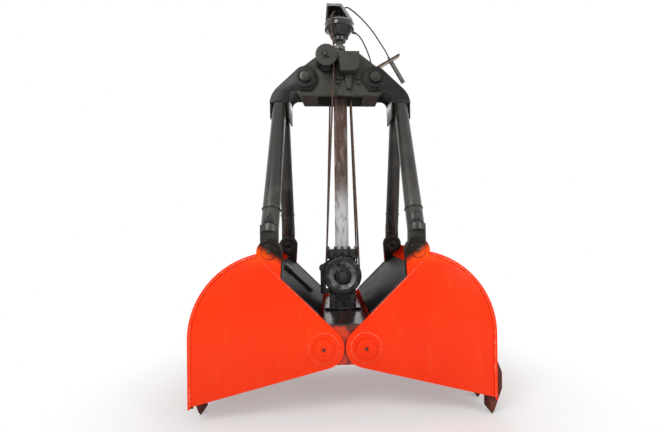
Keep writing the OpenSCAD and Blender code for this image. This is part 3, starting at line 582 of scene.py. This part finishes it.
# Cords, on the routes of the source
ROUTES = {
    "hoist_rope": (
        [(-66, -175, 2464), (-58, -195, 2600), (-52, -208, 2745), (-52, -196, 2850),
         (-62, -165, 2960), (-72, -144, 3060), (-66, -130, 3132), (-48, -88, 3190),
         (-30, -30, 3232), (-22, 20, 3235), (-20, 50, 3235)], ROPE_R, "rope", "taut", 0.11),
    "long_trip_cable": (
        [(25, 0, 3265.1), (48, 4, 3280), (80, 20, 3292.4), (150, 48, 3258), (225, 78, 3205),
         (300, 108, 3135), (370, 145, 3055), (430, 182, 2985), (466, 202, 2921)],
        CABLE_R, "cable", "hanging", 0.07),
    "short_trip_cable": (
        [(117, 0, 3065), (150, 8, 3058), (190, 34, 3030), (232, 80, 2980), (270, 134, 2920),
         (294, 184, 2868), (300, 202, 2822.3)], CABLE_R, "cable", "hanging", 0.07),
}
# How far each trip cable's ferrules stand past its two ends, to reach what holds them
FERRULES = {"long_trip_cable": (0.0026, 0.006), "short_trip_cable": (0.0005, 0.0043)}
# A ferrule's path has this many points, this far apart
FERRULE_POINTS, FERRULE_STEP = 14, 0.002


def ferrule(name, path, past):
    """A pressed sleeve on the start of path."""
    near = resample(path, FERRULE_STEP)[:FERRULE_POINTS]
    line = [near[0] - (near[1] - near[0]).normalized() * past] + near
    total = length_of(line)

    def section(run):
        return round_section(CABLE_R * (1.25 + 0.35 * min(1, min(run, total - run) / 0.003)), 24)

    verts, faces = sweep(line, section)
    return new_piece(name, verts, faces, "head", "pin", smooth=40)


def add_cords():
    for node, (route, radius, look, lay, pitch) in ROUTES.items():
        path = smooth_route(route)
        piece = rope_piece(node + "_laid", path, radius, "head", look, 0.005, pitch)
        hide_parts(node)
        ends = []
        if node in FERRULES:
            first, last = FERRULES[node]
            ends = [ferrule(node + "_ferrule_1", path, first),
                    ferrule(node + "_ferrule_2", path[::-1], last)]
        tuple(path[0])
        length_of(path)


add_cords()


def add_reeving():
    """Rope falls, and the turns round the lower sheaves."""
    ends = [((sx * SHEAVE_LAY, sy * SHEAVE_MID_Y, SHEAVE_Z),
             (sx * TOP_LAY, sy * TOP_MID_Y, FALL_TOP_Z)) for sx, sy in ((1, -1), (1, 1), (-1, 1))]
    ends.append(((-SHEAVE_LAY, -SHEAVE_MID_Y, SHEAVE_Z), HOIST_START))
    for number, (a, b) in enumerate(ends, 1):
        piece = rope_piece(f"rope_fall_{number}", [a, b], ROPE_R, "lower_block", step=0.008)
        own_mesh(piece)
        if number == 1:
            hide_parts("rope_falls")
    for sy, end in ENDS:
        arc = circle((0, SHEAVE_Z), SHEAVE_LAY, sy * SHEAVE_MID_Y, 40, 180, 359.9)
        piece = rope_piece(f"rope_turn_{end}", arc, ROPE_R, "lower_block", step=0.006)
        if sy < 0:
            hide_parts("rope_wraps")


add_reeving()

# Finish of the CAD nodes

# Looks of the nodes that each side has, and below them those of the single nodes
NODE_LOOKS = {
    "jaw": ("back_plate",), "jaw_side": ("side_plates", "ear_pins"), "cover": ("cover_plate",),
    "tooth": ("cutting_edge", "teeth_row"), "brown": ("inner_ears",), "bronze": ("hinge_bushes",),
    "pin": ("elbow_pins",), "black": ("elbow",), "leg": ("legs", "leg_feet"),
}
WHOLE_LOOKS = {
    "lower_beam": "beam", "sheave_housing": "grease", "jaw_hinge_pins": "jaw",
    "sheave_axles": "grease", "sheave_nuts": "pin", "latch_hook": "grease", "latch_pin": "pin",
    "front_lower_sheave": "sheave", "rear_lower_sheave": "sheave", "rope_wraps": "rope",
    "rope_falls": "rope", "head_frame": "head", "head_pins": "pin", "guide_bar": "bar",
    "guide_bar_pin": "pin", "head_sheave_axle": "pin", "head_sheaves": "grease",
    "guide_roller": "roller", "roller_axle": "pin", "latch_box": "head", "latch_tongue": "head",
    "box_bolts": "pin", "swivel_boss": "grease", "hanger_neck": "neck", "hanger_cup": "cup",
    "hanger_strap": "strap", "trip_bracket": "black", "trip_lever": "lever", "trip_rod": "neck",
    "trip_pivot_pin": "pin", "hoist_rope": "rope", "long_trip_cable": "cable",
    "short_trip_cable": "cable",
}
# Width of the softened edge of a node, in metres
EDGE_WIDTHS = {
    "side_plates": 0.0025, "back_plate": 0.002, "teeth_row": 0.005, "elbow": 0.004,
    "leg_feet": 0.004, "head_frame": 0.003, "sheave_housing": 0.005, "lower_beam": 0.004,
    "guide_bar": 0.003, "latch_box": 0.003, "latch_tongue": 0.003, "hanger_cup": 0.003,
    "hanger_strap": 0.003, "trip_lever": 0.002, "guide_roller": 0.003, "jaw_hinge_pins": 0.002,
    "ear_pins": 0.002, "elbow_pins": 0.003, "front_lower_sheave": 0.003,
    "rear_lower_sheave": 0.003, "sheave_nuts": 0.003, "box_bolts": 0.002, "latch_hook": 0.004,
    "inner_ears": 0.003, "cover_plate": 0.002, "cutting_edge": 0.003, "swivel_boss": 0.003,
    "hanger_neck": 0.003, "trip_bracket": 0.002,
}


# Corners of the CAD mesh closer than this are joined, and edges over this many degrees stay sharp
JOIN_WITHIN, SHARP_ANGLE = 0.00002, 32


def even_group():
    """Geometry nodes that join the CAD mesh's split corners and shade it evenly."""
    group = bpy.data.node_groups.new("even", "GeometryNodeTree")
    group.interface.new_socket("Geometry", in_out="INPUT", socket_type="NodeSocketGeometry")
    group.interface.new_socket("Geometry", in_out="OUTPUT", socket_type="NodeSocketGeometry")
    new, link = group.nodes.new, group.links.new
    enter, leave = new("NodeGroupInput"), new("NodeGroupOutput")
    drop = new("GeometryNodeRemoveAttribute")
    drop.inputs["Name"].default_value = "custom_normal"
    join = new("GeometryNodeMergeByDistance")
    join.inputs["Distance"].default_value = JOIN_WITHIN
    all_smooth = new("GeometryNodeSetShadeSmooth")
    some_sharp = new("GeometryNodeSetShadeSmooth")
    some_sharp.domain = "EDGE"
    angle = new("GeometryNodeInputMeshEdgeAngle")
    wide = new("FunctionNodeCompare")
    wide.operation = "LESS_THAN"
    wide.inputs[1].default_value = math.radians(SHARP_ANGLE)
    link(enter.outputs[0], drop.inputs["Geometry"])
    link(drop.outputs[0], join.inputs["Geometry"])
    link(join.outputs[0], all_smooth.inputs["Geometry"])
    link(all_smooth.outputs[0], some_sharp.inputs["Geometry"])
    link(angle.outputs[0], wide.inputs[0])
    link(wide.outputs[0], some_sharp.inputs["Shade Smooth"])
    link(some_sharp.outputs[0], leave.inputs[0])
    return group


EVEN = even_group()


def dress(node, look, kind):
    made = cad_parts[node]
    made.data.materials.clear()
    made.data.materials.append(LOOK[look])
    if kind in EDGE_WIDTHS:
        made.modifiers.new("join", "NODES").node_group = EVEN
        soften(made, EDGE_WIDTHS[kind])
        made.modifiers.new("even", "NODES").node_group = EVEN


for look, kinds in NODE_LOOKS.items():
    for kind in kinds:
        for _, side in SIDES:
            dress(f"{side}_{kind}", look, kind)
for node, look in WHOLE_LOOKS.items():
    dress(node, look, node)

# Welds and small pieces

# Radii of the weld beads
SHELL_BEAD, EAR_BEAD, PLATE_BEAD, FOOT_BEAD = 0.0065, 0.003, 0.0035, 0.006
RING_BEAD, COVER_BEAD, BOSS_BEAD, STRAP_BEAD = 0.0045, 0.004, 0.004, 0.0055
# Turned profiles: radius, and distance out from the face that the piece stands on
NIPPLE = [(0.011, -0.0015), (0.011, 0.002), (0.006, 0.004), (0.005, 0.008), (0.0065, 0.010),
          (0.005, 0.0135), (0, 0.0145)]
HINGE_CAP = [(0.046, -0.001), (0.046, 0.002), (0.043, 0.004), (0.022, 0.004), (0.020, 0.003),
             (0, 0.003)]
PIN_NUT = [(0.031, -0.002), (0.031, 0.010), (0.028, 0.014), (0.012, 0.014), (0.010, 0.011),
           (0, 0.011)]
AXLE_CAP = [(0.042, -0.001), (0.042, 0.006), (0.038, 0.009), (0.014, 0.009), (0, 0.008)]
ROLLER_CAP = [(0.026, -0.001), (0.026, 0.004), (0.018, 0.010), (0.010, 0.013), (0, 0.014)]


def level_ring(z, radius, count):
    """Points of a level circle about the middle axis."""
    return [Vector((radius * math.cos(t), radius * math.sin(t), z))
            for t in (2 * math.pi * k / count for k in range(count))]


def jaw_welds(s, side):
    """Seams round the shell, the hinge and the ear, and the grease nipples."""
    body = side + "_jaw"
    for e, end in ENDS:
        name = f"{side}_{end}_"
        y = e * (SIDE_Y + 0.003)
        seam = [Vector((BACK_X - 0.003, y, 0.14)), Vector((BACK_X - 0.003, y, BACK_Z))]
        seam += circle((BACK_X - BACK_R, BACK_Z), BACK_R - 0.003, y, 60, 0.5, SWEEP)
        bead(name + "back_seam", [Vector((s * p.x, p.y, p.z)) for p in seam], SHELL_BEAD, body,
             "bead_orange")
        bead(name + "hinge_seam", circle((s * HINGE_X, HINGE_Z), 0.107, e * SIDE_Y, 72), SHELL_BEAD,
             body, "bead_orange", closed=True)
        bead(name + "ear_seam", circle((s * EAR_X, EAR_Z), 0.0515, e * SIDE_Y, 48), EAR_BEAD, body,
             "bead_black", closed=True)
        lathe(name + "nipple_ear", (s * EAR_X, EAR_Z), e * (SIDE_Y + 0.018), NIPPLE, body, "pin",
              out=e, count=24)
        lathe(name + "nipple_hinge", (s * HINGE_X, HINGE_Z), e * (SIDE_Y + 0.033), NIPPLE,
              "lower_block", "pin", out=e, count=24)


for s, side in SIDES:
    jaw_welds(s, side)


def hinge_details():
    """Turned steps on the hinge pins' heads."""
    for s, side in SIDES:
        for e, end in ENDS:
            lathe(f"{side}_{end}_hinge_cap", (s * HINGE_X, HINGE_Z), e * (SIDE_Y + 0.027),
                  HINGE_CAP, "lower_block", "jaw", out=e)


hinge_details()

# Two points on the middle line of the right front tube of the arms
TUBE_FOOT, TUBE_TOP = (EAR_X, -0.586, 1.328), (0.5055, -0.118, 2.400)
# Height and radius of the weld rings round each tube
TUBE_RINGS = ((1.500, 0.066, "foot"), (2.392, 0.0555, "top"))
# The gussets: height of the middle, foot and tip, half width, and nearest and farthest face
GUSSET_MID_Z, GUSSET_Z, GUSSET_TIP_Z, GUSSET_HALF = 1.425, 1.400, 1.478, 0.040
GUSSET_NEAR, GUSSET_FAR = 0.030, 0.079


def arm_details(s, side):
    """Gussets on the feet, weld rings round the tubes and stepped nuts on the head pins."""
    body = side + "_arm"
    foot, top = Vector(TUBE_FOOT), Vector(TUBE_TOP)
    for e, end in ENDS:
        name = f"{side}_{end}_"
        flip = Vector((s, -e, 1))

        def at(z):
            share = (z - TUBE_FOOT[2]) / (TUBE_TOP[2] - TUBE_FOOT[2])
            return (foot + (top - foot) * share) * flip

        axis = ((top - foot) * flip).normalized()
        a = axis.orthogonal().normalized()
        b = axis.cross(a)
        for z, r, tag in TUBE_RINGS:
            ring = [at(z) + r * (math.cos(t) * a + math.sin(t) * b)
                    for t in (2 * math.pi * k / 60 for k in range(60))]
            bead(f"{name}{tag}_ring", ring, RING_BEAD, body, "bead_black", closed=True)
        c = at(GUSSET_MID_Z)
        tri = [(c.x - GUSSET_HALF, GUSSET_Z), (c.x + GUSSET_HALF, GUSSET_Z), (c.x, GUSSET_TIP_Z)]
        prism(name + "gusset", tri, c.y + e * GUSSET_NEAR, c.y + e * GUSSET_FAR, body, "grease",
              0.004)
        low = [Vector((c.x + x, c.y + e * 0.070, GUSSET_Z - 0.002)) for x in (-0.047, 0.047)]
        bead(name + "gusset_seam", low, FOOT_BEAD, body, "bead_black")
        bead(name + "eye_seam", circle((s * EAR_X, EAR_Z), 0.066, e * 0.607, 40, 20, 160), EAR_BEAD,
             body, "bead_black")
        # The nuts are hexagons in front and round at the rear
        lathe(name + "pin_nut", (s * HEAD_X, HEAD_Z), e * 0.2018, PIN_NUT, body, "head", out=e,
              count=6 if e < 0 else 32)
        bead(name + "collar_seam", circle((s * HEAD_X, HEAD_Z), 0.0855, e * 0.1585, 60), PLATE_BEAD,
             body, "bead_black", closed=True)


for s, side in SIDES:
    arm_details(s, side)

# Upper corner of the right cover's slope, and the direction down along it
COVER_CORNER, COVER_ALONG = (0.6128, 0, 1.1761), (-0.7110, 0, -0.7032)
# The bar and its lug on the left cover: distance down the slope, y and size
COVER_BAR = (("left_cover_bar", 0.345, -0.10, (0.30, 0.030, 0.026)),
             ("left_cover_lug", 0.215, -0.12, (0.075, 0.085, 0.034)))
COVER_BAR_TILT = 8


def cover_details():
    """Seams and rims along both covers, and the bar with its lug on the left one."""
    corner, along = Vector(COVER_CORNER), Vector(COVER_ALONG)
    up = Vector((along.z, 0, -along.x))
    for s, side in SIDES:
        for e, end in ENDS:
            seam = [corner + along * d + up * 0.002 for d in (0.14, 0.60)]
            bead(f"{side}_{end}_cover_seam", [Vector((s * p.x, e * 0.606, p.z)) for p in seam],
                 COVER_BEAD, side + "_jaw", "bead_black")
            rim = [corner + along * d - up * 0.004 for d in (0.02, 0.60)]
            bead(f"{side}_{end}_slope_rim", [Vector((s * p.x, e * SIDE_Y, p.z)) for p in rim],
                 PLATE_BEAD, side + "_jaw", "bead_orange")
    turn = Matrix((along, Vector((0, 1, 0)), up)).transposed()
    flip = Matrix.Diagonal((-1, 1, 1))
    spin = Matrix.Rotation(math.radians(COVER_BAR_TILT), 3, "Z")
    for name, d, y, size in COVER_BAR:
        middle = corner + along * d + up * (size[2] / 2 - 0.001) + Vector((0, y, 0))
        block(name, flip @ middle, size, "left_jaw", "black", flip @ turn @ spin, 0.006)


cover_details()


def head_details():
    """Beads along the head's lower edges and round boss and collar, and caps on its axles."""
    for e, end in ENDS:
        line = [Vector((x, e * (HEAD_Y + 0.001), 2.4655)) for x in (-0.318, 0.318)]
        bead(f"head_{end}_edge", line, PLATE_BEAD, "head", "bead_black")
    for e, end in ENDS:
        lathe(f"top_axle_cap_{end}", (0, 2.640), e * HEAD_Y, AXLE_CAP, "head", "head", out=e)
    lathe("roller_cap", (-0.113, 2.745), -0.2915, ROLLER_CAP, "head", "grease")
    for name, z, radius, body in (("boss_seam", 2.845, 0.058, "head"),
                                  ("collar_seam", 3.016, 0.056, "hanger")):
        bead(name, level_ring(z, radius, 48), BOSS_BEAD, body, "bead_black", closed=True)


head_details()

# Corners of the strap's outline, in x and z, that the light edge runs along
STRAP_CORNERS = ((-0.108, 3.268), (0.018, 3.268), (0.108, 3.134))


def hanger_details():
    """Light edge along the strap's top and slanting side, and beads round the cup's rim."""
    for e, end in ENDS:
        path = [Vector((x, e * 0.0745, z)) for x, z in STRAP_CORNERS]
        bead(f"strap_edge_{end}", path, STRAP_BEAD, "hanger", "edge")
    for z, look in ((3.130, "edge"), (3.084, "bead_black")):
        bead(f"cup_ring_{int(z * 1000)}", level_ring(z, 0.1235, 80), RING_BEAD, "hanger", look,
             closed=True)


hanger_details()

# Middle line of the trip lever, from its pivot to its rod
LEVER_FROM, LEVER_TO = (0.255, 0, 2.778), (0.560, 0, 2.955)


def lever_details():
    """Pale liner under the trip lever, and a bead along each of its edges."""
    a, b = Vector(LEVER_FROM), Vector(LEVER_TO)
    d = (b - a).normalized()
    n = Vector((-d.z, 0, d.x))
    low = [a + d * 0.05, b - d * 0.004]
    outline = [low[0], low[1], low[1] - n * 0.004, low[0] - n * 0.004]
    prism("lever_liner", [(p.x, p.z) for p in outline], 0.176, 0.228, "trip", "primer", 0.0008)
    path = [a + d * 0.04 + n * 0.013, b + n * 0.013]
    for name, y in (("lever_rib_front", 0.175), ("lever_rib_rear", 0.229)):
        bead(name, [Vector((p.x, y, p.z)) for p in path], PLATE_BEAD, "trip", "bead_black")


lever_details()

# Stage

FLOOR_HALF = 40.0
WORLD_LIGHT = 0.36
# Name, place, size and power of each lamp, and what they all point at
LAMPS = (("key", (-2.6, -4.2, 4.6), 2.6, 170), ("fill", (3.6, -3.4, 2.6), 2.2, 74),
         ("rim", (0.5, 3.6, 4.8), 3.0, 90))
LAMP_AIM = (0, 0, 1.5)


def add_stage():
    """Floor, lamps, and a world that is white to the eye and in reflections but lights less."""
    mesh = bpy.data.meshes.new("floor")
    r = FLOOR_HALF
    mesh.from_pydata([(-r, -r, 0), (r, -r, 0), (r, r, 0), (-r, r, 0)], [], [(0, 1, 2, 3)])
    mesh.materials.append(LOOK["floor"])
    floor = bpy.data.objects.new("floor", mesh)
    floor.location.z = -0.0005
    scene.collection.objects.link(floor)

    world = bpy.data.worlds.new("studio")
    scene.world = world
    world.use_nodes = True
    tree = world.node_tree
    tree.nodes.clear()
    out = tree.nodes.new("ShaderNodeOutputWorld")
    seen = tree.nodes.new("ShaderNodeBackground")
    light = tree.nodes.new("ShaderNodeBackground")
    seen.inputs[0].default_value = (1, 1, 1, 1)
    seen.inputs[1].default_value = 1.0
    light.inputs[0].default_value = (1, 1, 1, 1)
    light.inputs[1].default_value = WORLD_LIGHT
    rays = tree.nodes.new("ShaderNodeLightPath")
    mix = tree.nodes.new("ShaderNodeMixShader")
    share = rays.outputs["Is Camera Ray"]
    for other in ("Is Glossy Ray", "Is Transmission Ray"):
        either = tree.nodes.new("ShaderNodeMath")
        either.operation = "MAXIMUM"
        tree.links.new(share, either.inputs[0])
        tree.links.new(rays.outputs[other], either.inputs[1])
        share = either.outputs[0]
    tree.links.new(share, mix.inputs[0])
    tree.links.new(light.outputs[0], mix.inputs[1])
    tree.links.new(seen.outputs[0], mix.inputs[2])
    tree.links.new(mix.outputs[0], out.inputs[0])

    for name, at, size, power in LAMPS:
        lamp = bpy.data.lights.new(name, "AREA")
        lamp.size, lamp.energy = size, power
        holder = bpy.data.objects.new(name, lamp)
        holder.location = at
        aim = Vector(LAMP_AIM) - Vector(at)
        holder.rotation_euler = aim.to_track_quat("-Z", "Y").to_euler()
        scene.collection.objects.link(holder)


add_stage()
scene.view_settings.view_transform = "Standard"
